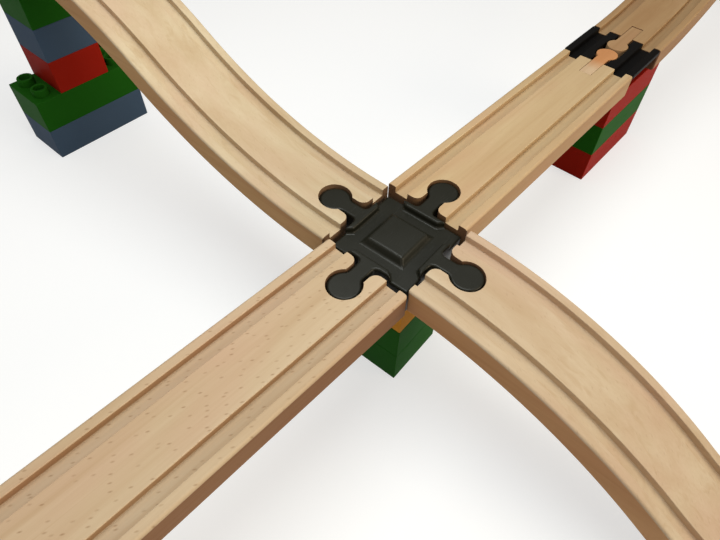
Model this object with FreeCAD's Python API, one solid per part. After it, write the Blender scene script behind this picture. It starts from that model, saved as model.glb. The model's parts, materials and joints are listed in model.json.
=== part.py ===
# Elevated crossing for a wooden train set: grooved beech tracks that meet at a
# printed crossing hub, carried by piers and towers of studded building bricks.
# Millimetres. +Z up. The origin is the centre of the hub's top pad, which lies
# a little under the running surface of the tracks. +X runs out along the hub's
# east arm, +Y along its north arm. Each piece is drawn with the running surface
# at z = 0 and lifted by hubDrop when it is placed.
import FreeCAD, Part
import math
import os

os.makedirs("parts", exist_ok=True)

Vec = FreeCAD.Vector

# Track section
trackWidth = 40.0
trackThick = 12.0
grooveWidth = 6.0
grooveDepth = 3.0
grooveOffset = 13.0          # groove centre from the track's centre line
edgeRadius = 1.0
endCornerRadius = 1.2

# Track lengths
straightLength = 148.0
rampLength = 216.0
climbLength = 270.0          # ramp that climbs to the far tower

# Socket in a track's end, and the peg glued into the other end
socketInset = 11.8           # socket centre from the end face
socketFlare = 3.4            # radius that rounds the mouth
pegHeadRadius = 5.7
pegInset = 11.2              # head centre from the end face
pegNeckHalf = 3.3
pegTenon = 14.0              # length of the peg that is let into the track
pegEase = 0.5                # chamfer on the peg's top and bottom rims

# Studded bricks
pitch = 16.0
brickPlay = 0.2              # a brick is this much under a whole number of pitches
brickHeight = 19.2
brickWall = 1.6
brickTop = 2.0
studRadius = 4.7
studHeight = 4.5
studBore = 3.2
studBoreDepth = 3.0
studEase = 0.4
gripPlay = 0.12              # between a stud and the tube that grips it
tubeWall = 1.5
brickCorner = 0.6

# Crossing hub
hubRim = 2.2                 # core beyond the wheel path
hubDrop = 0.8                # top of the hub below the running surface
hubHeadRadius = 6.4
hubNeckHalf = 3.3
neckBlend = 2.0              # radius where a neck runs into its knob and the core
padInset = 0.2               # pad edge from the wheel path
padBevel = 1.6
barHalf = 10.4               # half the length of a guide bar
barLap = 0.5                 # how far a guide bar reaches over the wheel path
barSlope = 2.4               # run of the slanted end of a guide bar
hubEase = 0.5

# Joint adapter
pegTipGap = 1.2              # between the two pegs that meet in the adapter
adapterCorner = 1.2
deckLip = 2.5                # height of the deck's outer side, over its slanted underside
pocketWall = 1.2             # foot beyond the stud pockets

# Fits
hubGap = 1.8                 # end face of a track to the hub's core
knobPlay = 0.5               # knob to socket, radial
neckPlay = 1.0               # knob's neck to the socket's slot, each side
endGap = 0.5                 # end face of a track to the adapter
pegPlay = 0.5                # peg to the adapter's recess, radial
mouthPlay = 1.0              # peg's neck to the adapter's mouth, each side
pocketPlay = 0.15            # stud pocket to stud, radial

# Piers: how many bricks stand under each support
lowCourses = 3
highCourses = 6

# How far each line is turned on its knob, in degrees
westTurn = -3.83
northTurn = -1.59
eastTurn = -2.73
southTurn = -2.26

# Worked out
pathOuter = grooveOffset + grooveWidth / 2  # outer side of the wheel path
pathInner = grooveOffset - grooveWidth / 2
hubHalf = pathOuter + hubRim                # half the side of the core
hubHeadInset = hubHalf + hubGap + socketInset
socketRadius = hubHeadRadius + knobPlay
socketSlotHalf = hubNeckHalf + neckPlay
seatDrop = trackThick + studHeight          # running surface to the top of a pier
pegReach = pegInset + pegHeadRadius         # end face of a track to the tip of its peg
adapterLength = 2 * (pegReach - endGap) + pegTipGap
adapterFootHalf = pitch / 2 + studRadius + pocketPlay + pocketWall
floorDrop = lowCourses * brickHeight + seatDrop
rampRise = (highCourses - lowCourses) * brickHeight
rampFall = floorDrop - trackThick
past = 1.0                                  # how far a cutter runs past a face


def box(x0, x1, y0, y1, z0, z1):
    return Part.makeBox(x1 - x0, y1 - y0, z1 - z0, Vec(x0, y0, z0))


def cylinder(radius, x, y, z0, z1):
    return Part.makeCylinder(radius, z1 - z0, Vec(x, y, z0))


def prism(points, z0, z1):
    """Straight-sided block over a closed outline of (x, y) points."""
    corners = [Vec(x, y, z0) for x, y in points]
    face = Part.Face(Part.makePolygon(corners + corners[:1]))
    return face.extrude(Vec(0, 0, z1 - z0))


def fuse(shapes):
    return shapes[0].multiFuse(shapes[1:]).removeSplitter()


def vertical_edges(shape, test):
    """Straight edges along Z whose (x, y) passes the test."""
    found = []
    for edge in shape.Edges:
        if len(edge.Vertexes) != 2:
            continue
        a = edge.Vertexes[0].Point
        b = edge.Vertexes[1].Point
        if abs(a.x - b.x) < 1e-6 and abs(a.y - b.y) < 1e-6 and test(a.x, a.y):
            found.append(edge)
    return found


def rim_edges(shape, levels):
    """Edges that lie wholly at one of the given heights."""
    found = []
    for edge in shape.Edges:
        low = edge.BoundBox.ZMin
        high = edge.BoundBox.ZMax
        if any(abs(low - z) < 1e-5 and abs(high - z) < 1e-5 for z in levels):
            found.append(edge)
    return found


# ---- tracks ---------------------------------------------------------------

def track_band(length, rise, depth_top, depth_low, half):
    """Layer of a track between two depths under its running surface.

    A level track is a box. A ramp follows two equal arcs that leave both ends
    level and meet halfway.
    """
    if rise == 0:
        return box(0, length, -half, half, -depth_low, -depth_top)
    up = 1 if rise > 0 else -1
    radius = (length ** 2 + rise ** 2) / (4 * abs(rise))
    angle = 2 * math.atan(abs(rise) / length)

    def first(depth, share):
        r = radius + up * depth
        turn = angle * share
        return Vec(r * math.sin(turn), -half, up * (radius - r * math.cos(turn)))

    def second(depth, share):
        r = radius - up * depth
        turn = angle * (1 - share)
        return Vec(length - r * math.sin(turn), -half, rise - up * (radius - r * math.cos(turn)))

    top = [Part.Arc(first(depth_top, 0), first(depth_top, 0.5), first(depth_top, 1)).toShape(),
           Part.Arc(second(depth_top, 0), second(depth_top, 0.5), second(depth_top, 1)).toShape()]
    low = [Part.Arc(second(depth_low, 1), second(depth_low, 0.5), second(depth_low, 0)).toShape(),
           Part.Arc(first(depth_low, 1), first(depth_low, 0.5), first(depth_low, 0)).toShape()]
    far = Part.LineSegment(second(depth_top, 1), second(depth_low, 1)).toShape()
    near = Part.LineSegment(first(depth_low, 0), first(depth_top, 0)).toShape()
    outline = Part.Wire([top[0], top[1], far, low[0], low[1], near])
    return Part.Face(outline).extrude(Vec(0, 2 * half, 0))


def long_edges(shape, half):
    """Edges that run along the track on its two outer corners."""
    found = []
    for edge in shape.Edges:
        bounds = edge.BoundBox
        if bounds.YLength < 1e-6 and abs(abs(bounds.YMin) - half) < 1e-6 and bounds.XLength > trackWidth / 2:
            found.append(edge)
    return found


def socket_cutter(z0, z1):
    """Round socket with its slot and flared mouth, at the x = 0 end."""
    slot = box(-past, socketInset, -socketSlotHalf, socketSlotHalf, z0, z1)
    hole = cylinder(socketRadius, socketInset, 0, z0, z1)
    flare = box(-past, socketFlare, -socketSlotHalf - socketFlare, socketSlotHalf + socketFlare, z0, z1)
    for side in (-1, 1):
        lip = cylinder(socketFlare, socketFlare, side * (socketSlotHalf + socketFlare), z0 - past, z1 + past)
        flare = flare.cut(lip)
    return fuse([slot, hole, flare])


def peg_outline_solid(z0, z1, play):
    """Peg shape at the x = 0 end, pointing to -x, with its tenon running to +x."""
    head = cylinder(pegHeadRadius, -pegInset, 0, z0, z1)
    neck = box(-pegInset, pegTenon + play, -pegNeckHalf - play, pegNeckHalf + play, z0, z1)
    return fuse([head, neck])


def peg(z_top):
    z_low = z_top - trackThick
    body = peg_outline_solid(z_low, z_top, 0)
    return body.makeChamfer(pegEase, rim_edges(body, (z_low, z_top)))


def track(length, rise):
    """Track from a socket at x = 0 to a mortise for the peg at x = length."""
    low = min(0, rise) - trackThick - past
    high = max(0, rise) + past
    body = track_band(length, rise, 0, trackThick, trackWidth / 2)
    body = body.makeFillet(edgeRadius, long_edges(body, trackWidth / 2))
    for x in (0, length):
        for side in (-1, 1):
            edge_y = side * trackWidth / 2
            inner_x = endCornerRadius if x == 0 else length - endCornerRadius
            inner_y = side * (trackWidth / 2 - endCornerRadius)
            corner = box(min(x, inner_x) - (past if x == 0 else 0), max(x, inner_x) + (past if x else 0),
                         min(edge_y, inner_y) - (past if side < 0 else 0),
                         max(edge_y, inner_y) + (past if side > 0 else 0), low, high)
            corner = corner.cut(cylinder(endCornerRadius, inner_x, inner_y, low - past, high + past))
            body = body.cut(corner)
    for side in (-1, 1):
        groove = track_band(length, rise, -past, grooveDepth, grooveWidth / 2)
        groove.translate(Vec(0, side * grooveOffset, 0))
        body = body.cut(groove)
    body = body.cut(socket_cutter(low, high))
    mortise = box(length - pegTenon, length + past, -pegNeckHalf, pegNeckHalf, low, high)
    return body.cut(mortise)


# ---- bricks ---------------------------------------------------------------

def brick(across, along):
    """Brick of across x along studs, centred on the origin, standing on z = 0."""
    half_x = (across * pitch - brickPlay) / 2
    half_y = (along * pitch - brickPlay) / 2
    body = box(-half_x, half_x, -half_y, half_y, 0, brickHeight)
    body = body.makeFillet(brickCorner, body.Edges)
    inner_x = half_x - brickWall
    inner_y = half_y - brickWall
    shell = body.cut(box(-inner_x, inner_x, -inner_y, inner_y, -past, brickHeight - brickTop))
    parts = [shell]
    tube_radius = pitch / math.sqrt(2) - studRadius - gripPlay
    for i in range(across - 1):
        for j in range(along - 1):
            x = (i - (across - 2) / 2) * pitch
            y = (j - (along - 2) / 2) * pitch
            tube = cylinder(tube_radius, x, y, 0, brickHeight - brickTop)
            parts.append(tube.cut(cylinder(tube_radius - tubeWall, x, y, -past, brickHeight - brickTop)))
    for i in range(across):
        for j in range(along):
            x = (i - (across - 1) / 2) * pitch
            y = (j - (along - 1) / 2) * pitch
            stud = cylinder(studRadius, x, y, brickHeight - brickTop / 2, brickHeight + studHeight)
            stud = stud.makeChamfer(studEase, rim_edges(stud, (brickHeight + studHeight,)))
            bore = cylinder(studBore, x, y, brickHeight + studHeight - studBoreDepth,
                            brickHeight + studHeight + past)
            parts.append(stud.cut(bore))
    return fuse(parts)


# ---- printed pieces -------------------------------------------------------

def stud_pockets(x0):
    """Four pockets for the studs of the brick that carries a printed piece."""
    pockets = []
    for i in (-0.5, 0.5):
        for j in (-0.5, 0.5):
            pockets.append(cylinder(studRadius + pocketPlay, x0 + i * pitch, j * pitch,
                                    -seatDrop - past, -trackThick))
    return pockets


def guide_bar():
    """Raised bar beside the north neck, with slanted ends."""
    inner = pathOuter - barLap
    outline = [(-barHalf, hubHalf), (barHalf, hubHalf), (barHalf - barSlope, inner), (barSlope - barHalf, inner)]
    return prism(outline, -hubDrop - grooveDepth - past, -hubDrop)


def hub_arm():
    """Neck and knob of the north arm."""
    knob = cylinder(hubHeadRadius, 0, hubHeadInset, -trackThick, -hubDrop)
    neck = box(-hubNeckHalf, hubNeckHalf, pathOuter, hubHeadInset, -trackThick, -hubDrop)
    arm = fuse([knob, neck])
    throat = hubHeadInset - math.sqrt(hubHeadRadius ** 2 - hubNeckHalf ** 2)
    blend = vertical_edges(arm, lambda x, y: abs(y - throat) < 1e-3)
    arm = arm.makeFillet(neckBlend, blend)
    return arm.makeFillet(hubEase, rim_edges(arm, (-hubDrop,)))


def hub():
    """Crossing hub: core with wheel channels round a centre pad, and four knobs."""
    floor_z = -hubDrop - grooveDepth
    core = box(-hubHalf, hubHalf, -hubHalf, hubHalf, -seatDrop, floor_z)
    core = core.makeFillet(2 * hubEase, vertical_edges(core, lambda x, y: True))
    pad_half = pathInner - padInset
    pad = box(-pad_half, pad_half, -pad_half, pad_half, floor_z - past, -hubDrop)
    pad = pad.makeChamfer(padBevel, rim_edges(pad, (-hubDrop,)))
    parts = [core, pad]
    for quarter in range(4):
        for piece in (guide_bar(), hub_arm()):
            piece.rotate(Vec(0, 0, 0), Vec(0, 0, 1), 90 * quarter)
            parts.append(piece)
    body = fuse(parts)
    for pocket in stud_pockets(0):
        body = body.cut(pocket)
    return body


def adapter_section():
    """Block with the section of the joint adapter: a deck on a narrower foot."""
    half = trackWidth / 2
    foot_top = -deckLip - (half - adapterFootHalf)      # the underside slants at 45 degrees
    side = [(half, 0), (half, -deckLip), (adapterFootHalf, foot_top), (adapterFootHalf, -seatDrop)]
    outline = side + [(-y, z) for y, z in reversed(side)]
    corners = [Vec(0, y, z) for y, z in outline]
    face = Part.Face(Part.makePolygon(corners + corners[:1]))
    return face.extrude(Vec(adapterLength, 0, 0))


def adapter():
    """Block between two track ends: one long recess takes a peg from each side."""
    half = trackWidth / 2
    recess = pegHeadRadius + pegPlay
    mouth = pegNeckHalf + mouthPlay
    near = pegInset - endGap
    far = adapterLength - near
    body = box(0, adapterLength, -half, half, -seatDrop, 0)
    body = body.makeFillet(adapterCorner, vertical_edges(body, lambda x, y: True))
    body = body.common(adapter_section())
    for side in (-1, 1):
        y = side * grooveOffset
        body = body.cut(box(-past, adapterLength + past, y - grooveWidth / 2, y + grooveWidth / 2,
                            -grooveDepth, past))
    slot = box(-past, adapterLength + past, -mouth, mouth, -trackThick, past)
    ends = [cylinder(recess, x, 0, -trackThick, past) for x in (near, far)]
    body = body.cut(fuse([slot, box(near, far, -recess, recess, -trackThick, past)] + ends))
    for pocket in stud_pockets(adapterLength / 2):
        body = body.cut(pocket)
    return body


# ---- placing --------------------------------------------------------------

def on_line(shape, heading, turn, x, z):
    """Put a shape on one of the four lines.

    A line starts at its knob of the hub and runs outward; x is measured from
    the knob's centre. heading is the arm's direction and turn the line's swivel.
    """
    placed = shape.copy()
    placed.translate(Vec(x, 0, z))
    placed.rotate(Vec(0, 0, 0), Vec(0, 0, 1), heading + turn)
    angle = math.radians(heading)
    placed.translate(Vec(hubHeadInset * math.cos(angle), hubHeadInset * math.sin(angle), hubDrop))
    return placed


def at_centre(shape):
    """Put a shape on the hub's axis."""
    placed = shape.copy()
    placed.translate(Vec(0, 0, hubDrop))
    return placed


def save(name, shape):
    solid = shape.Solids[0] if len(shape.Solids) == 1 else shape
    solid.exportStep("parts/%s.step" % name)
    print("%-24s valid %s solids %d volume %9.1f" % (name, shape.isValid(), len(shape.Solids), shape.Volume))


def pier(prefix, courses, sizes, place):
    """Stack of bricks on the floor. sizes gives each course's studs, lowest first."""
    for course in range(courses):
        across, along, shift = sizes[course]
        body = brick(across, along)
        body.translate(Vec(shift, 0, course * brickHeight - floorDrop))
        save("%s_brick_%d" % (prefix, course + 1), place(body))


def main():
    start = -socketInset
    straight_end = start + straightLength
    ramp_end = start + rampLength
    lines = {"west": (180, westTurn), "north": (90, northTurn), "east": (0, eastTurn), "south": (-90, southTurn)}

    # hub and its pier
    save("crossing_hub", at_centre(hub()))
    pier("centre", lowCourses, [(2, 2, 0)] * lowCourses, at_centre)

    # one track leaves each knob, with the peg of its far end
    runs = {"west": (straightLength, 0), "east": (straightLength, 0),
            "north": (rampLength, rampRise), "south": (rampLength, -rampFall)}
    for name, (length, rise) in runs.items():
        heading, turn = lines[name]
        save(name + "_track", on_line(track(length, rise), heading, turn, start, 0))
        tip = peg(rise)
        tip.rotate(Vec(0, 0, 0), Vec(0, 0, 1), 180)
        save(name + "_peg", on_line(tip, heading, turn, start + length, 0))

    # adapters on their piers
    supports = {"west": (straight_end, 0, lowCourses), "east": (straight_end, 0, lowCourses),
                "north": (ramp_end, rampRise, highCourses)}
    for name, (end, rise, courses) in supports.items():
        heading, turn = lines[name]
        face = end + endGap
        save(name + "_adapter", on_line(adapter(), heading, turn, face, rise))
        middle = face + adapterLength / 2
        sizes = [(2, 2, middle)] * courses
        if name == "east":
            sizes = [(4, 2, middle + pitch)] * courses
        if name == "north":
            sizes = [(2, 4, middle)] * 2 + sizes[2:]
        pier(name, courses, sizes, lambda body: on_line(body, heading, turn, 0, 0))

    # second ramp beyond the east adapter, its tower and the hub that ends it
    heading, turn = lines["east"]
    climb_start = straight_end + endGap + adapterLength + endGap
    climb = track(climbLength, -rampRise)
    climb.rotate(Vec(0, 0, 0), Vec(0, 0, 1), 180)
    climb_end = climb_start + climbLength
    save("climb_track", on_line(climb, heading, turn, climb_end, rampRise))
    save("climb_peg", on_line(peg(0), heading, turn, climb_start, 0))
    far = climb_end - socketInset + hubHeadInset
    save("far_hub", on_line(hub(), heading, turn, far, rampRise))
    pier("far", highCourses, [(2, 2, far)] * highCourses, lambda body: on_line(body, heading, turn, 0, 0))


main()
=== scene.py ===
import json
import math
import bpy
import bmesh
from mathutils import Matrix, Vector

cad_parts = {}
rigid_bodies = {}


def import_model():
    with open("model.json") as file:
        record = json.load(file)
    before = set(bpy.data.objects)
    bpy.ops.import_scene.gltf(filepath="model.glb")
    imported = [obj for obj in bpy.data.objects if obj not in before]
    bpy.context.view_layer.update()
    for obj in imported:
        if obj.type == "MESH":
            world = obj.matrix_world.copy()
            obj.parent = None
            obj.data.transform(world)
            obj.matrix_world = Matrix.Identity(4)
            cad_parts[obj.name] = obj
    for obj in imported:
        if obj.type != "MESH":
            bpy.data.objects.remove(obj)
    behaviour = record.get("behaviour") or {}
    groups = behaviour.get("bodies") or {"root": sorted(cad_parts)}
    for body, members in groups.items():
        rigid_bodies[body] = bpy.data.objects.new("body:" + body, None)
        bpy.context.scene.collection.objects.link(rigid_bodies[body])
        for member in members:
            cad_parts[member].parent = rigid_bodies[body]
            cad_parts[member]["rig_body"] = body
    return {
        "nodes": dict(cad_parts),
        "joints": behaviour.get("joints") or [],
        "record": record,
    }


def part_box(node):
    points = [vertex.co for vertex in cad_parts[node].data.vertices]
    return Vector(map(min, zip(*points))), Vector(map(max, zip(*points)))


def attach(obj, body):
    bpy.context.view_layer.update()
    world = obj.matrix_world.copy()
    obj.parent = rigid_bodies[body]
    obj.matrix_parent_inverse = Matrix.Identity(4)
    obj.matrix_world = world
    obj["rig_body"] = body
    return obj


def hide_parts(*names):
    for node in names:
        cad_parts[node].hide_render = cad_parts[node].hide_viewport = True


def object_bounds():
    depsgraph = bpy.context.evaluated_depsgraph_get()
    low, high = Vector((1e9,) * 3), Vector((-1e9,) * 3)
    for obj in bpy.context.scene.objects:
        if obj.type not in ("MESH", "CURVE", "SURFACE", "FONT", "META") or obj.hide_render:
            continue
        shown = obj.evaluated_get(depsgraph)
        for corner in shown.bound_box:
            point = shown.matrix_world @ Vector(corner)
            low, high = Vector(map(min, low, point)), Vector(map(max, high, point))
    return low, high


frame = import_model()
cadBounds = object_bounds()
nodes = frame["nodes"]
joints = {j["name"]: j for j in frame["joints"]}
mounts = {m["name"]: m for m in frame["record"]["mounts"]}
slots = {s["node"]: s["material_slot"] for s in frame["record"]["subparts"]}
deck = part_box("west_track")[1].z                      # running surface of the level tracks
ground = cadBounds[0][2]
squareCorners = ((-1, -1), (1, -1), (1, 1), (-1, 1))
tiny = 1e-7                                           # closer than this counts as the same place

# each line runs out from a knob of the hub: its swivel, and the mark at its far end
lines = {
    "west": ("west_line_swivel", "west_recess"),
    "north": ("north_line_swivel", "north_recess"),
    "east": ("east_line_swivel", "far_knob_out"),
    "south": ("south_track_swivel", "south_peg_end"),
}


def lineMatrix(line):
    swivel, farMark = lines[line]
    knob = Vector(joints[swivel]["pos_m"])
    mark = Vector(mounts[farMark]["pos_m"])
    heading = math.atan2(mark.y - knob.y, mark.x - knob.x)
    return Matrix.Translation((knob.x, knob.y, 0)) @ Matrix.Rotation(heading, 4, "Z")


def spanOf(node, matrix):                             # a node's box in a turned frame
    back = matrix.inverted()
    points = [back @ v.co for v in nodes[node].data.vertices]
    low = Vector([min(p[i] for p in points) for i in range(3)])
    high = Vector([max(p[i] for p in points) for i in range(3)])
    return low, high


def newPiece(name, data):
    piece = bpy.data.objects.new(name, data)
    bpy.context.scene.collection.objects.link(piece)
    return piece


def fromBmesh(name, shape):
    bmesh.ops.recalc_face_normals(shape, faces=shape.faces)
    mesh = bpy.data.meshes.new(name)
    shape.to_mesh(mesh)
    shape.free()
    return newPiece(name, mesh)


def arc(cx, cy, radius, start, end, steps):           # degrees, both ends included
    angles = [math.radians(start + (end - start) * i / steps) for i in range(steps + 1)]
    return [(cx + radius * math.cos(a), cy + radius * math.sin(a)) for a in angles]


def mirrored(half):                                   # closes an outline across the x axis
    other = [(x, -y) for x, y in reversed(half) if abs(y) > tiny]
    return half + other


def planBlock(name, outline, low, high):              # upright block over an (x, y) outline
    shape = bmesh.new()
    base = [shape.verts.new((x, y, low)) for x, y in outline]
    lid = [shape.verts.new((x, y, high)) for x, y in outline]
    count = len(outline)
    for i in range(count):
        j = (i + 1) % count
        shape.faces.new((base[i], base[j], lid[j], lid[i]))
    shape.faces.new(base)
    shape.faces.new(lid)
    return fromBmesh(name, shape)


def turned(name, profile, sides, cx, cy):             # solid of revolution about an upright axis
    shape = bmesh.new()
    angles = [2 * math.pi * k / sides for k in range(sides)]
    rings = []
    for radius, z in profile:
        spots = [(cx + radius * math.cos(a), cy + radius * math.sin(a), z) for a in angles]
        if radius == 0:
            spots = [(cx, cy, z)]
        rings.append([shape.verts.new(spot) for spot in spots])
    pairs = list(zip(rings, rings[1:]))
    if len(rings[0]) > 1:
        pairs.append((rings[-1], rings[0]))
    for one, two in pairs:
        for k in range(sides):
            n = (k + 1) % sides
            if len(one) == 1:
                shape.faces.new((one[0], two[k], two[n]))
            elif len(two) == 1:
                shape.faces.new((one[k], one[n], two[0]))
            else:
                shape.faces.new((one[k], one[n], two[n], two[k]))
    return fromBmesh(name, shape)


def settle(piece):                                    # bakes the modifiers into the mesh
    bpy.context.view_layer.update()
    graph = bpy.context.evaluated_depsgraph_get()
    mesh = bpy.data.meshes.new_from_object(piece.evaluated_get(graph))
    piece.modifiers.clear()
    piece.data = mesh


def carve(piece, tools, operation):                   # UNION, DIFFERENCE or INTERSECT
    for tool in tools:
        step = piece.modifiers.new("carve", "BOOLEAN")
        step.operation = operation
        step.object = tool
        settle(piece)
        bpy.data.objects.remove(tool)


def soften(piece, width, steps=2, angle=40):          # rounds the sharp edges
    step = piece.modifiers.new("soften", "BEVEL")
    step.width = width
    step.segments = steps
    step.limit_method = "ANGLE"
    step.angle_limit = math.radians(angle)
    step.use_clamp_overlap = False
    settle(piece)


def cleanUp(piece, gap=2e-5):                         # joins points that cuts left too close
    shape = bmesh.new()
    shape.from_mesh(piece.data)
    bmesh.ops.remove_doubles(shape, verts=shape.verts, dist=gap)
    bmesh.ops.dissolve_degenerate(shape, edges=shape.edges, dist=gap)
    shape.to_mesh(piece.data)
    shape.free()


def smoothOut(piece, angle=35):
    mesh = piece.data
    mesh.polygons.foreach_set("use_smooth", [True] * len(mesh.polygons))
    mesh.set_sharp_from_angle(angle=math.radians(angle))
    step = piece.modifiers.new("normals", "WEIGHTED_NORMAL")
    step.keep_sharp = True


def standFor(piece, node, matrix, paints):            # puts a piece in a CAD node's place
    piece.name = "look_" + node
    piece.data.name = "look_" + node
    piece.matrix_world = matrix
    for paint in paints[len(piece.data.materials):]:
        piece.data.materials.append(paint)
    smoothOut(piece)
    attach(piece, nodes[node]["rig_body"])
    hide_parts(node)


class Wire:                                           # a shader socket that does sums
    def __init__(self, sheet, socket):
        self.sheet = sheet
        self.socket = socket

    def maths(self, operation, first, second):
        return self.sheet.add("Math", {"operation": operation}, {0: first, 1: second})

    def __add__(self, other):
        return self.maths("ADD", self, other)

    def __radd__(self, other):
        return self.maths("ADD", other, self)

    def __sub__(self, other):
        return self.maths("SUBTRACT", self, other)

    def __rsub__(self, other):
        return self.maths("SUBTRACT", other, self)

    def __mul__(self, other):
        return self.maths("MULTIPLY", self, other)

    def __rmul__(self, other):
        return self.maths("MULTIPLY", other, self)

    def __gt__(self, other):
        return self.maths("GREATER_THAN", self, other)

    def __lt__(self, other):
        return self.maths("LESS_THAN", self, other)


class Sheet:                                          # the node tree of one finish
    def __init__(self, name):
        self.material = bpy.data.materials.new(name)
        self.material.use_nodes = True
        self.tree = self.material.node_tree
        self.tree.nodes.clear()

    def add(self, kind, settings=None, sockets=None, out=0):
        node = self.tree.nodes.new("ShaderNode" + kind)
        for key, value in (settings or {}).items():
            if key == "stops":
                elements = node.color_ramp.elements
                while len(elements) < len(value):
                    elements.new(0.5)
                for element, (place, colour) in zip(elements, value):
                    element.position = place
                    element.color = colour if hasattr(colour, "__len__") else (colour, colour, colour, 1)
            else:
                setattr(node, key, value)
        for key, value in (sockets or {}).items():
            if isinstance(value, Wire):
                self.tree.links.new(value.socket, node.inputs[key])
            else:
                node.inputs[key].default_value = value
        return Wire(self, node.outputs[out]) if node.outputs else None

    def place(self, size, offset=(0, 0, 0), tilt=0):  # object coordinates in steps of a pattern's size
        where = self.add("TexCoord", out="Object")
        turn = (0, 0, math.radians(tilt))
        return self.add("Mapping", {"vector_type": "TEXTURE"},
                        {"Vector": where, "Scale": size, "Location": offset, "Rotation": turn})

    def noise(self, where, detail=3.0, rough=0.5, twist=0.0):
        return self.add("TexNoise", None, {"Vector": where, "Scale": 1.0, "Detail": detail,
                                           "Roughness": rough, "Distortion": twist})

    def ramp(self, value, stops):
        return self.add("ValToRGB", {"stops": stops}, {"Fac": value})

    def blend(self, factor, first, second, mode="MIX"):
        return self.add("Mix", {"data_type": "RGBA", "blend_type": mode},
                        {0: factor, 6: first, 7: second}, out=2)

    def finish(self, height=None, bumpSize=0.0, **sockets):
        if height is not None:
            bump = {"Height": height, "Distance": bumpSize, "Strength": 1.0}
            sockets["Normal"] = self.add("Bump", None, bump)
        shader = self.add("BsdfPrincipled", None, {k.replace("_", " "): v for k, v in sockets.items()})
        self.add("OutputMaterial", None, {"Surface": shader})
        return self.material


def rgb(red, green, blue):                            # screen colour, 0 to 255, to linear
    def linear(c):
        c = c / 255
        return c / 12.92 if c <= 0.04045 else ((c + 0.055) / 1.055) ** 2.4
    return (linear(red), linear(green), linear(blue), 1)


beech = {
    "light": rgb(212, 190, 160),
    "dark": rgb(197, 169, 136),
    "pink": rgb(206, 173, 146),
    "vein": rgb(188, 157, 121),
    "fleck": rgb(138, 100, 66),
    # painted shade: 'wall' darkens the walls of the grooves, where shade falls
    "wall": rgb(186, 134, 84),
    # 'end' makes the end faces and socket walls a darker brown
    "end": rgb(120, 78, 44),
    "bandSize": (0.13, 0.011, 0.011),                 # patterns of the grain, along and across it
    "fibreSize": (0.02, 0.0008, 0.0008),
    "patchSize": (0.05, 0.022, 0.022),
    "veinSize": (0.16, 0.0034, 0.0034),
    "veinDepth": 0.36,
    "pinkDepth": 0.7,
    "fibreDepth": 0.22,
    "endDepth": 0.8,
    "roughness": 0.55,
    "fibreRough": 0.16,
    "gloss": 0.3,
    "relief": 0.0001,
    "fleckSize": (0.0056, 0.0022, 1.0),
    "fleckTilt": -30,
    "bare": 0.38,                                     # share of the cells without a fleck
    "fadeRate": 30,                                   # per metre along a peg, from the track's end
    "faded": 0.12,                                    # share of the stain left on the tenon
}


def beechPaint(name, offset, flecks=0.5, stainAndShade=None, depth=0.75, fade=False, tone=None):
    b = beech
    sheet = Sheet(name)
    band = sheet.noise(sheet.place(b["bandSize"], offset), detail=3, rough=0.5, twist=0.4)
    fibre = sheet.noise(sheet.place(b["fibreSize"], offset), detail=3, rough=0.6)
    patch = sheet.noise(sheet.place(b["patchSize"], offset), detail=2)
    vein = sheet.noise(sheet.place(b["veinSize"], offset), detail=2, twist=0.8)
    colour = sheet.blend(sheet.ramp(band, [(0.32, 0.0), (0.68, 1.0)]), b["light"], b["dark"])
    colour = sheet.blend(sheet.ramp(patch, [(0.46, 0.0), (0.72, b["pinkDepth"])]), colour, b["pink"])
    colour = sheet.blend(sheet.ramp(vein, [(0.56, 0.0), (0.70, b["veinDepth"])]), colour, b["vein"])
    colour = sheet.blend(fibre * b["fibreDepth"], colour, b["dark"], "MULTIPLY")
    rough = b["roughness"] + fibre * b["fibreRough"]
    height = fibre * 0.6 + band * 0.4
    if tone:
        colour = sheet.blend(1.0, colour, tone, "MULTIPLY")
    if fade:                                          # the stain weakens along a peg's tenon
        along = sheet.add("SeparateXYZ", None, {"Vector": sheet.add("TexCoord", out="Object")})
        depth = sheet.ramp(along * b["fadeRate"] + 0.5, [(0.25, depth * b["faded"]), (0.55, depth)])
    # multiplies a colour in: a peg's real amber stain, painted shade on groove walls, painted shade and
    # painted warm light on long sides, darker brown on ends and sockets
    if stainAndShade:
        colour = sheet.blend(depth, colour, stainAndShade, "MULTIPLY")
    if flecks:
        flat = {"voronoi_dimensions": "2D"}
        where = sheet.place(b["fleckSize"], offset, b["fleckTilt"])
        cells = {"Vector": where, "Scale": 1.0, "Randomness": 1.0}
        near = sheet.add("TexVoronoi", flat, cells)
        cellColour = sheet.add("TexVoronoi", flat, cells, out="Color")
        chance = sheet.add("SeparateColor", None, {"Color": cellColour})
        dash = sheet.ramp(near, [(0.04, 1.0), (0.16, 0.0)]) * (chance > b["bare"])
        colour = sheet.blend(dash * chance * flecks, colour, b["fleck"])
        height = height - dash * 0.5
    return sheet.finish(height, b["relief"], Base_Color=colour, Roughness=rough,
                        Specular_IOR_Level=b["gloss"])


plastic = {
    "cloudSize": (0.016, 0.016, 0.016),
    "speckSize": (0.0004, 0.0004, 0.0004),
    "scratchSize": (0.011, 0.0004, 0.0014),
    "cloudDepth": 0.18,
    "cloudRough": 0.14,
    "scratchRough": 0.12,
    "relief": 0.00006,
    "hub": {"roughness": 0.32, "gloss": 0.28, "wear": 0.25, "grain": 0.35},
    "adapter": {"roughness": 0.5, "gloss": 0.07, "wear": 0.2, "grain": 0.35},
    "brick": {"roughness": 0.46, "gloss": 0.02, "wear": 0.12, "grain": 0.1},
}


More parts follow.
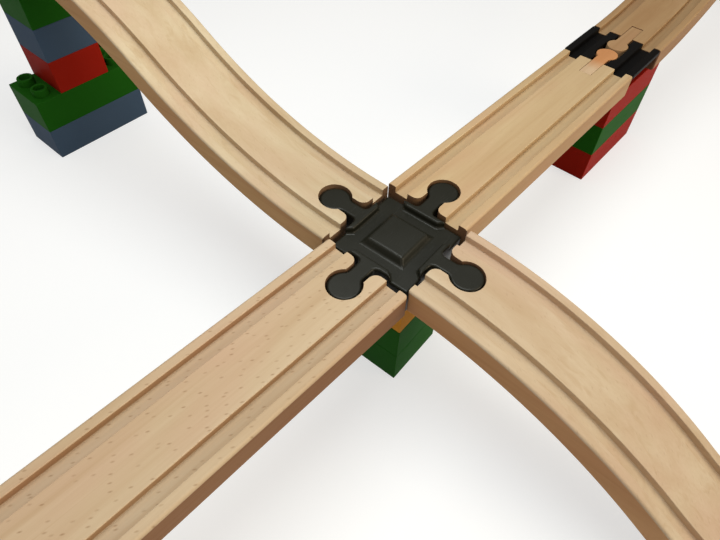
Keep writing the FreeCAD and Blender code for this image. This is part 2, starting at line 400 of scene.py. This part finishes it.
def plasticPaint(name, kind, colour, offset):         # kind: hub, adapter or brick
    p = plastic
    own = p[kind]
    sheet = Sheet(name)
    cloud = sheet.noise(sheet.place(p["cloudSize"], offset), detail=4, rough=0.6)
    speck = sheet.noise(sheet.place(p["speckSize"], offset), detail=2)
    scratch = sheet.noise(sheet.place(p["scratchSize"], offset), detail=2, twist=1.2)
    line = sheet.ramp(scratch, [(0.66, 0.0), (0.70, 1.0)])
    pale = [min(1.0, c * 1.6 + 0.02) for c in colour[:3]] + [1]
    shade = sheet.blend(cloud * p["cloudDepth"], colour, pale)
    shade = sheet.blend(line * own["wear"], shade, pale)
    rough = own["roughness"] + cloud * p["cloudRough"] + line * p["scratchRough"]
    height = speck * own["grain"] - line * 0.3 + cloud * 0.5
    return sheet.finish(height, p["relief"], Base_Color=shade, Roughness=rough,
                        Specular_IOR_Level=own["gloss"])


brickColours = {
    "brick_red": rgb(148, 28, 14),
    "brick_green": rgb(26, 84, 14),
    "brick_blue": rgb(66, 84, 106),
    "brick_yellow": rgb(214, 146, 54),
}

# a grooved section is swept along a level line or two equal arcs, and an upright plan cuts its outline
track = {
    "half": 0.020,
    "thick": 0.012,
    "groove": 0.006,
    "grooveOffset": 0.013,
    "grooveDepth": 0.003,
    "topRound": 0.0011,
    "lowRound": 0.0006,
    "grooveRound": 0.00035,
    "inset": 0.0118,                                  # end face to the socket's centre
    "socket": 0.0069,
    "slot": 0.0043,                                   # half the width of the socket's neck
    "flare": 0.0034,                                  # radius at the neck's mouth
    "tenon": 0.014,                                   # how deep the peg's slot is
    "neck": 0.0033,                                   # half the slot's width
    "soften": 0.00028,                                # less than grooveRound, which it would close up
    "stations": 40,                                   # along each arc of a ramp
    "overrun": 0.0004,                                # how far the sweep runs past the plan
    "levelWithin": 0.0001,                            # a smaller rise counts as none
}
past = 0.001                                          # how far a cutting tool runs past what it cuts


def trackSection():                                   # (y, depth) points, with True on a groove's floor
    t = track
    points = [(t["half"] - t["lowRound"], t["thick"], False), (t["half"], t["thick"] - t["lowRound"], False)]
    edge = arc(t["half"] - t["topRound"], t["topRound"], t["topRound"], 0, -90, 5)
    points += [(y, d, False) for y, d in edge]
    out = t["grooveOffset"] + t["groove"] / 2
    inn = t["grooveOffset"] - t["groove"] / 2
    r = t["grooveRound"]
    depth = t["grooveDepth"]
    lip = arc(out + r, r, r, -90, -180, 3)
    points += [(y, d, False) for y, d in lip]
    points += [(y, d, True) for y, d in arc(out - r, depth - r, r, 0, 90, 3)]
    points += [(y, d, True) for y, d in arc(inn + r, depth - r, r, 90, 180, 3)]
    points += [(y, d, False) for y, d in arc(inn - r, r, r, 0, -90, 3)]
    return points + [(-y, d, g) for y, d, g in reversed(points)]


def rampPoint(length, rise, share, depth):            # share runs 0 to 2 over the two equal arcs
    if rise == 0:
        return length * share / 2, -depth
    up = math.copysign(1, rise)
    radius = (length ** 2 + rise ** 2) / (4 * abs(rise))
    angle = 2 * math.atan(abs(rise) / length)
    if share <= 1:
        r = radius + up * depth
        turn = angle * share
        return r * math.sin(turn), up * (radius - r * math.cos(turn))
    r = radius - up * depth
    turn = angle * (2 - share)
    return length - r * math.sin(turn), rise - up * (radius - r * math.cos(turn))


def trackPlan(length, c):                             # c: radius of the end corners
    t = track
    half = arc(t["inset"], 0, t["socket"], 0, 180 - math.degrees(math.asin(t["slot"] / t["socket"])), 22)
    half += arc(t["flare"], t["slot"] + t["flare"], t["flare"], -90, -180, 7)
    half += arc(c, t["half"] - c, c, 180, 90, 6)
    half += [(c, t["half"] + past), (length - c, t["half"] + past)]
    half += arc(length - c, t["half"] - c, c, 90, 0, 6)
    half += [(length, t["neck"]), (length - t["tenon"], t["neck"])]
    return mirrored(half)


def makeTrack(node, matrix, length, rise, corner, paints):
    section = trackSection()
    count = 2 * track["stations"] if rise else 2
    shape = bmesh.new()
    loops = []
    for i in range(count + 1):
        share = 2 * i / count
        loop = []
        for y, depth, groove in section:
            x, z = rampPoint(length, rise, share, depth)
            if i == 0:
                x -= track["overrun"]
            if i == count:
                x += track["overrun"]
            loop.append(shape.verts.new((x, y, z)))
        loops.append(loop)
    around = len(section)
    for one, two in zip(loops, loops[1:]):
        for k in range(around):
            n = (k + 1) % around
            face = shape.faces.new((one[k], one[n], two[n], two[k]))
            if section[k][2] != section[n][2]:
                face.material_index = 1
            elif min(abs(section[k][0]), abs(section[n][0])) > track["half"] - tiny:
                face.material_index = 2
    shape.faces.new(loops[0])
    shape.faces.new(loops[-1])
    piece = fromBmesh("track", shape)
    low = min(0, rise) - 2 * track["thick"]
    high = max(0, rise) + track["thick"]
    plan = planBlock("plan", trackPlan(length, corner), low, high)
    for face in plan.data.polygons:
        face.material_index = 3
    for paint in paints:
        piece.data.materials.append(paint)
        plan.data.materials.append(paint)
    carve(piece, [plan], "INTERSECT")
    cleanUp(piece)
    soften(piece, track["soften"])
    standFor(piece, node, matrix, paints)


peg = {
    "head": 0.0057,
    "inset": 0.0112,                                  # end face to the head's centre
    "neck": 0.0033,
    "tenon": 0.014,
    "lift": 0.0001,                                   # keeps its underside off the recess's floor
    "soften": 0.0005,
}


def makePeg(node, matrix, paint):                     # matrix: at the track's end, x out of it
    angle = math.degrees(math.asin(peg["neck"] / peg["head"]))
    half = arc(peg["inset"], 0, peg["head"], 0, 180 - angle, 20)
    half += [(-peg["tenon"], peg["neck"])]
    piece = planBlock("peg", mirrored(half), peg["lift"] - track["thick"], 0)
    soften(piece, peg["soften"])
    standFor(piece, node, matrix, [paint])


# a square body with a raised pad and four arms, each a guide bar, a neck and a knob
hub = {
    "drop": 0.0008,                                   # running surface to the hub's top
    "half": 0.0182,
    "foot": 0.0165,                                   # running surface to the underside
    "channel": 0.003,                                 # depth of the wheel channels
    "pad": 0.0098,
    "padTop": 0.0082,
    "padSpread": 0.0006,                              # the pad's foot, sunk into the body, is this much wider
    "padSink": 0.001,
    "bar": 0.0104,                                    # half a guide bar's length
    "barSlope": 0.0024,
    "barInner": 0.0155,                               # hub's centre to a bar's inner side
    "knobInset": 0.0318,                              # hub's centre to a knob's centre
    "knob": 0.0064,
    "neck": 0.0033,
    "blend": 0.0030,                                  # radius where the neck meets its knob
    "root": 0.0019,                                   # radius where the neck meets its bar
    "pitch": 0.016,
    "pocket": 0.00485,
    "soften": 0.001,
}


def frustum(name, low, high, halfLow, halfHigh):
    shape = bmesh.new()
    base = [shape.verts.new((x * halfLow, y * halfLow, low)) for x, y in squareCorners]
    lid = [shape.verts.new((x * halfHigh, y * halfHigh, high)) for x, y in squareCorners]
    for i in range(4):
        j = (i + 1) % 4
        shape.faces.new((base[i], base[j], lid[j], lid[i]))
    shape.faces.new(base)
    shape.faces.new(lid)
    return fromBmesh(name, shape)


def knobArm():                                        # knob, neck and guide bar along +x
    h = hub
    reach = h["knob"] + h["blend"]
    drop = h["neck"] + h["blend"]
    along = math.sqrt(reach ** 2 - drop ** 2)
    meet = math.degrees(math.asin(drop / reach))
    half = arc(h["knobInset"], 0, h["knob"], 0, 180 - meet, 22)
    half += arc(h["knobInset"] - along, drop, h["blend"], -meet, -90, 6)
    r = h["root"]
    half += arc(h["half"] + r, h["neck"] + r, r, -90, -180, 5)
    half += [(h["half"], h["bar"]), (h["barInner"], h["bar"] - h["barSlope"])]
    return mirrored(half)


def turnedOutline(outline, quarter):
    for _ in range(quarter):
        outline = [(-y, x) for x, y in outline]
    return outline


def studPockets(cx, cy, low, high):
    h = hub["pitch"] / 2
    return [planBlock("pocket", arc(cx + i * h, cy + j * h, hub["pocket"], 0, 350, 35), low, high)
            for i in (-1, 1) for j in (-1, 1)]


def makeHub(node, matrix, paint):
    h = hub
    top = -h["drop"]
    floor = top - h["channel"]
    square = [(x * h["half"], y * h["half"]) for x, y in squareCorners]
    piece = planBlock("hub", square, -h["foot"], floor)
    pad = frustum("pad", floor - h["padSink"], top, h["pad"] + h["padSpread"], h["padTop"])
    arms = [planBlock("arm", turnedOutline(knobArm(), quarter), -track["thick"], top) for quarter in range(4)]
    carve(piece, [pad] + arms, "UNION")
    carve(piece, studPockets(0, 0, -h["foot"] - past, -track["thick"]), "DIFFERENCE")
    cleanUp(piece)
    soften(piece, h["soften"], 3, 30)
    standFor(piece, node, matrix, [paint])


adapter = {
    "length": 0.034,
    "near": 0.0107,                                   # recess centre from each face
    "recess": 0.0062,
    "mouth": 0.0043,                                  # half the width of a recess's neck
    "corner": 0.0012,
    "lip": 0.0025,                                    # outer side of the deck
    "foot": 0.01405,                                  # half the width of the foot under it
    "floor": 0.0002,                                  # left between a recess and the stud pockets
    "past": 0.002,                                    # how far its cuts run past it
    "soften": 0.0004,
}


def footCuts(low, high):                              # what lies beside the foot, under the slanted deck
    a = adapter
    outer = track["half"] + a["past"]
    below = -hub["foot"] - a["past"]
    corners = [(a["foot"], below), (a["foot"], -a["lip"] - (track["half"] - a["foot"])),
               (outer, -a["lip"] + a["past"]), (outer, below)]
    tools = []
    for side in (1, -1):
        outline = [(-z, side * y) for y, z in corners]
        tool = planBlock("cut", outline, low, high)
        tool.data.transform(Matrix.Rotation(math.radians(90), 4, "Y"))
        tools.append(tool)
    return tools


def makeAdapter(node, matrix, paint):                 # matrix: at the face, x through the piece
    a = adapter
    size = a["length"]
    wide = track["half"]
    c = a["corner"]
    half = arc(size - c, wide - c, c, 0, 90, 4) + arc(c, wide - c, c, 90, 180, 4)
    piece = planBlock("adapter", mirrored(half), -hub["foot"], 0)
    mouthAngle = math.degrees(math.asin(a["mouth"] / a["recess"]))
    over = a["past"]
    half = [(size + over, a["mouth"])]
    half += arc(size - a["near"], 0, a["recess"], mouthAngle, 90, 10)
    half += arc(a["near"], 0, a["recess"], 90, 180 - mouthAngle, 10)
    half += [(-over, a["mouth"])]
    tools = [planBlock("recess", mirrored(half), -track["thick"], over)]
    for side in (-1, 1):
        y = side * track["grooveOffset"]
        g = track["groove"] / 2
        outline = [(-over, y - g), (size + over, y - g), (size + over, y + g), (-over, y + g)]
        tools.append(planBlock("groove", outline, -track["grooveDepth"], over))
    tools += studPockets(size / 2, 0, -hub["foot"] - over, -track["thick"] - a["floor"])
    tools += footCuts(-over, size + over)
    carve(piece, tools, "DIFFERENCE")
    cleanUp(piece)
    soften(piece, a["soften"], 2, 30)
    standFor(piece, node, matrix, [paint])


# a hollow box with tubes that grip the studs of the brick below
brick = {
    "pitch": 0.016,
    "play": 0.0002,                                   # left between neighbouring bricks
    "high": 0.0192,
    "wall": 0.0016,
    "top": 0.002,
    "stud": 0.0047,                                   # radius, as for the bore
    "studHigh": 0.0045,
    "studBore": 0.0032,
    "boreDeep": 0.003,
    "tubeWall": 0.0015,
    "gripPlay": 0.00012,
    "edge": 0.0003,
    "studEdge": 0.0004,
    "tubeEdge": 0.0002,
    "sink": 0.001,                                    # how far studs and tubes run into the brick's top
}


def softBlock(name, halfX, halfY, low, high, edge, steps):
    shape = bmesh.new()
    bmesh.ops.create_cube(shape, size=1)
    for v in shape.verts:
        v.co = Vector((v.co.x * 2 * halfX, v.co.y * 2 * halfY, low + (v.co.z + 0.5) * (high - low)))
    bmesh.ops.bevel(shape, geom=list(shape.edges), offset=edge, segments=steps, profile=0.5, affect="EDGES")
    return fromBmesh(name, shape)


def brickMesh(across, along):
    b = brick
    halfX = (across * b["pitch"] - b["play"]) / 2
    halfY = (along * b["pitch"] - b["play"]) / 2
    piece = softBlock("brick", halfX, halfY, 0, b["high"], b["edge"], 3)
    inside = b["high"] - b["top"]
    cavity = softBlock("cavity", halfX - b["wall"], halfY - b["wall"], -inside, inside, b["edge"], 2)
    carve(piece, [cavity], "DIFFERENCE")
    outer = b["pitch"] / math.sqrt(2) - b["stud"] - b["gripPlay"]
    bore = outer - b["tubeWall"]
    mouth = b["tubeEdge"]
    root = inside + b["sink"]
    tube = [(bore, mouth), (outer - mouth, 0.0), (outer, mouth), (outer, root), (bore, root)]
    rim = b["high"] + b["studHigh"]
    outside = b["studEdge"]
    within = outside / 2
    stud = [(0, b["high"] - b["sink"]), (b["stud"], b["high"] - b["sink"])]
    stud += arc(b["stud"] - outside, rim - outside, outside, 0, 90, 4)
    stud += arc(b["studBore"] + within, rim - within, within, 90, 180, 3)
    stud += [(b["studBore"], rim - b["boreDeep"]), (0, rim - b["boreDeep"])]
    tools = []
    for i in range(across - 1):
        for j in range(along - 1):
            x = (i - (across - 2) / 2) * b["pitch"]
            y = (j - (along - 2) / 2) * b["pitch"]
            tools.append(turned("tube", tube, 40, x, y))
    for i in range(across):
        for j in range(along):
            x = (i - (across - 1) / 2) * b["pitch"]
            y = (j - (along - 1) / 2) * b["pitch"]
            tools.append(turned("stud", stud, 48, x, y))
    carve(piece, tools, "UNION")
    mesh = piece.data
    bpy.data.objects.remove(piece)
    return mesh


def shifted(matrix, x, z, turn=0):
    return matrix @ Matrix.Translation((x, 0, z)) @ Matrix.Rotation(math.radians(turn), 4, "Z")


def beechSet(stem, run):
    offset = run["offset"]
    tone = run["tone"]
    top = beechPaint(stem + "_top", offset, run["flecks"], tone=tone)
    # wall: painted shade in the grooves; side: painted shade and painted warm light on the long sides; end:
    # darker brown on end faces and socket walls
    wall = beechPaint(stem + "_wall", offset, 0, beech["wall"], run["wall"], tone=tone)
    side = beechPaint(stem + "_side", offset, 0, run["side"], run["sideShadeDepth"], tone=tone)
    end = beechPaint(stem + "_end", offset, 0, beech["end"], beech["endDepth"], tone=tone)
    return [top, wall, side, end]


hubPlastic = plasticPaint("hubPlastic", "hub", rgb(24, 24, 15), (0, 0, 0))
adapterPlastic = plasticPaint("adapterPlastic", "adapter", rgb(7, 6, 6), (0.2, 0, 0))
# painted shade: darkens the climb track and its peg, as where less light reaches them
climbShadeTone = rgb(213, 197, 174)
pegBeech = beechPaint("pegBeech", (3.1, 0.2, 0.7), 0)
pegShaded = beechPaint("pegShaded", (2.6, 0.5, 0.3), 0, tone=climbShadeTone)
pegAmber = beechPaint("pegAmber", (1.7, 0.9, 0.1), 0, rgb(240, 170, 96), fade=True)

# each track's own wood; its place, length and rise come from its solid
runs = {
    # 'wall' paints shade into the groove walls; 'side' and its depth paint shade and a warm painted light
    # onto the long sides
    "west": {"line": "west", "offset": (0.13, 0.41, 0.07), "flecks": 0.6, "wall": 0.5, "corner": 0.0012,
             "side": rgb(160, 114, 56), "sideShadeDepth": 0.87, "tone": rgb(247, 247, 245)},
    "north": {"line": "north", "offset": (2.31, 0.87, 0.33), "flecks": 0.08, "wall": 0.0, "corner": 0.0005,
              "side": rgb(255, 216, 164), "sideShadeDepth": 0.9, "tone": rgb(246, 253, 254)},
    "east": {"line": "east", "offset": (4.73, 1.19, 0.91), "flecks": 0.1, "wall": 0.0, "corner": 0.0003,
             "side": rgb(220, 180, 136), "sideShadeDepth": 0.4, "tone": rgb(243, 239, 224)},
    "south": {"line": "south", "offset": (6.17, 2.03, 1.57), "flecks": 0.12, "wall": 0.0, "corner": 0.0008,
              "side": rgb(255, 206, 150), "sideShadeDepth": 0.8, "tone": rgb(249, 252, 255)},
    "climb": {"line": "east", "offset": (8.59, 2.71, 2.11), "flecks": 0.08, "wall": 0.05, "corner": 0.0008,
              "side": rgb(220, 180, 136), "sideShadeDepth": 0.4, "tone": climbShadeTone},
}
for stem, run in runs.items():
    matrix = lineMatrix(run["line"])
    low, high = spanOf(stem + "_track", matrix)
    length = high.x - low.x
    rise = (high.z - low.z) - track["thick"]
    rise = 0 if rise < track["levelWithin"] else rise
    paints = beechSet(stem, run)
    pegPaint = pegAmber if slots[stem + "_peg"] == "peg_amber" else pegBeech
    if stem == "climb":                               # its socket is at the top, its peg at the bottom
        makeTrack(stem + "_track", shifted(matrix, high.x, high.z, 180), length, -rise, run["corner"], paints)
        makePeg(stem + "_peg", shifted(matrix, low.x, high.z - rise, 180), pegShaded)
        continue
    fall = stem == "south"
    rise = -rise if fall else rise
    start = high.z if fall else high.z - rise
    makeTrack(stem + "_track", shifted(matrix, low.x, start), length, rise, run["corner"], paints)
    makePeg(stem + "_peg", shifted(matrix, high.x, start + rise), pegPaint)
print("tracks and pegs")

makeHub("crossing_hub", Matrix.Translation((0, 0, deck)), hubPlastic)
farMatrix = lineMatrix("east")
low, high = spanOf("far_hub", farMatrix)
makeHub("far_hub", shifted(farMatrix, (low.x + high.x) / 2, high.z + hub["drop"]), hubPlastic)
for line in ("west", "north", "east"):
    matrix = lineMatrix(line)
    low, high = spanOf(line + "_adapter", matrix)
    makeAdapter(line + "_adapter", shifted(matrix, low.x, high.z), adapterPlastic)
print("hubs and joint pieces")

meshes = {size: brickMesh(*size) for size in ((2, 2), (4, 2), (2, 4))}
brickLines = {"centre": None, "west": "west", "north": "north", "east": "east", "far": "east"}
count = 0
for prefix, line in brickLines.items():
    matrix = lineMatrix(line) if line else Matrix.Identity(4)
    for node in sorted(n for n in nodes if n.startswith(prefix + "_brick_")):
        low, high = spanOf(node, matrix)
        size = tuple(round((high[i] - low[i]) / brick["pitch"]) for i in (0, 1))
        piece = newPiece(node, meshes[size].copy())
        paint = plasticPaint(node, "brick", brickColours[slots[node]], (count * 1.7, count * 0.6, 0))
        standFor(piece, node, shifted(matrix, (low.x + high.x) / 2, low.z), [paint])
        count += 1
print("bricks", count)

room = {
    "floor": (0.46, 0.47, 0.48, 1),
    "glow": (0.60, 0.60, 0.60, 1),                    # lifts the floor to white in view, keeps its shadows
    "size": 6.0,
    "world": (1.0, 0.95, 0.89, 1),
    "worldStrength": 0.30,
}


def makeFloor():
    half = room["size"] / 2
    shape = bmesh.new()
    shape.faces.new([shape.verts.new((x * half, y * half, ground)) for x, y in squareCorners])
    floor = fromBmesh("floor", shape)
    sheet = Sheet("floorPaint")
    seen = sheet.add("LightPath", out="Is Camera Ray")
    for ray in ("Is Glossy Ray", "Is Transmission Ray"):
        seen = seen + sheet.add("LightPath", out=ray)
    glow = sheet.blend(seen, (0, 0, 0, 1), room["glow"])
    floor.data.materials.append(sheet.finish(Base_Color=room["floor"], Roughness=0.85, Specular_IOR_Level=0.1,
                                             Emission_Color=glow, Emission_Strength=1.0))


lamps = {
    "topLamp": {"place": (0.01, 0.04, 0.40), "aim": (0.01, 0, 0), "size": 0.30, "power": 1.36,
                "colour": (0.96, 1.0, 0.97)},
    "sideLamp": {"place": (0.34, -1.3, 0.5), "aim": (0, 0, 0), "size": 0.9, "power": 10.5,
                 "colour": (1.0, 0.84, 0.60)},
    "frontLamp": {"place": (-1.1, -0.35, 0.55), "aim": (0, 0, 0), "size": 0.8, "power": 1.3,
                  "colour": (1.0, 0.86, 0.70)},
}


def makeLamp(name, lamp):
    light = bpy.data.lights.new(name, "AREA")
    light.shape = "DISK"
    light.size = lamp["size"]
    light.energy = lamp["power"]
    light.color = lamp["colour"]
    holder = newPiece(name, light)
    beam = Vector(lamp["aim"]) - Vector(lamp["place"])
    holder.location = lamp["place"]
    holder.rotation_euler = beam.to_track_quat("-Z", "Y").to_euler()


makeFloor()
for name, lamp in lamps.items():
    makeLamp(name, lamp)
world = bpy.data.worlds.new("room")
world.use_nodes = True
world.node_tree.nodes["Background"].inputs["Color"].default_value = room["world"]
world.node_tree.nodes["Background"].inputs["Strength"].default_value = room["worldStrength"]
bpy.context.scene.world = world
print("room and lamps")

camera = {
    "place": (-0.1238, -0.0796, 0.1578),              # from the crossing, at running level
    "yaw": -52.06,
    "pitch": 51.01,                                   # below the horizon
    "roll": 1.67,
    "lens": 27.88,
    "shift": (-0.0028, 0.0014),
}
eye = bpy.data.objects.new("camera", bpy.data.cameras.new("camera"))
eye.data.lens = camera["lens"]
eye.data.clip_start = 0.01
eye.data.shift_x = camera["shift"][0]
eye.data.shift_y = camera["shift"][1]
turn = Matrix.Rotation(math.radians(camera["yaw"]), 4, "Z")
tilt = Matrix.Rotation(math.radians(90 - camera["pitch"]), 4, "X")
lean = Matrix.Rotation(math.radians(camera["roll"]), 4, "Z")
x, y, z = camera["place"]
eye.matrix_world = Matrix.Translation((x, y, z + deck)) @ turn @ tilt @ lean
bpy.context.scene.collection.objects.link(eye)
bpy.context.scene.camera = eye
bpy.context.scene.view_settings.view_transform = "Standard"
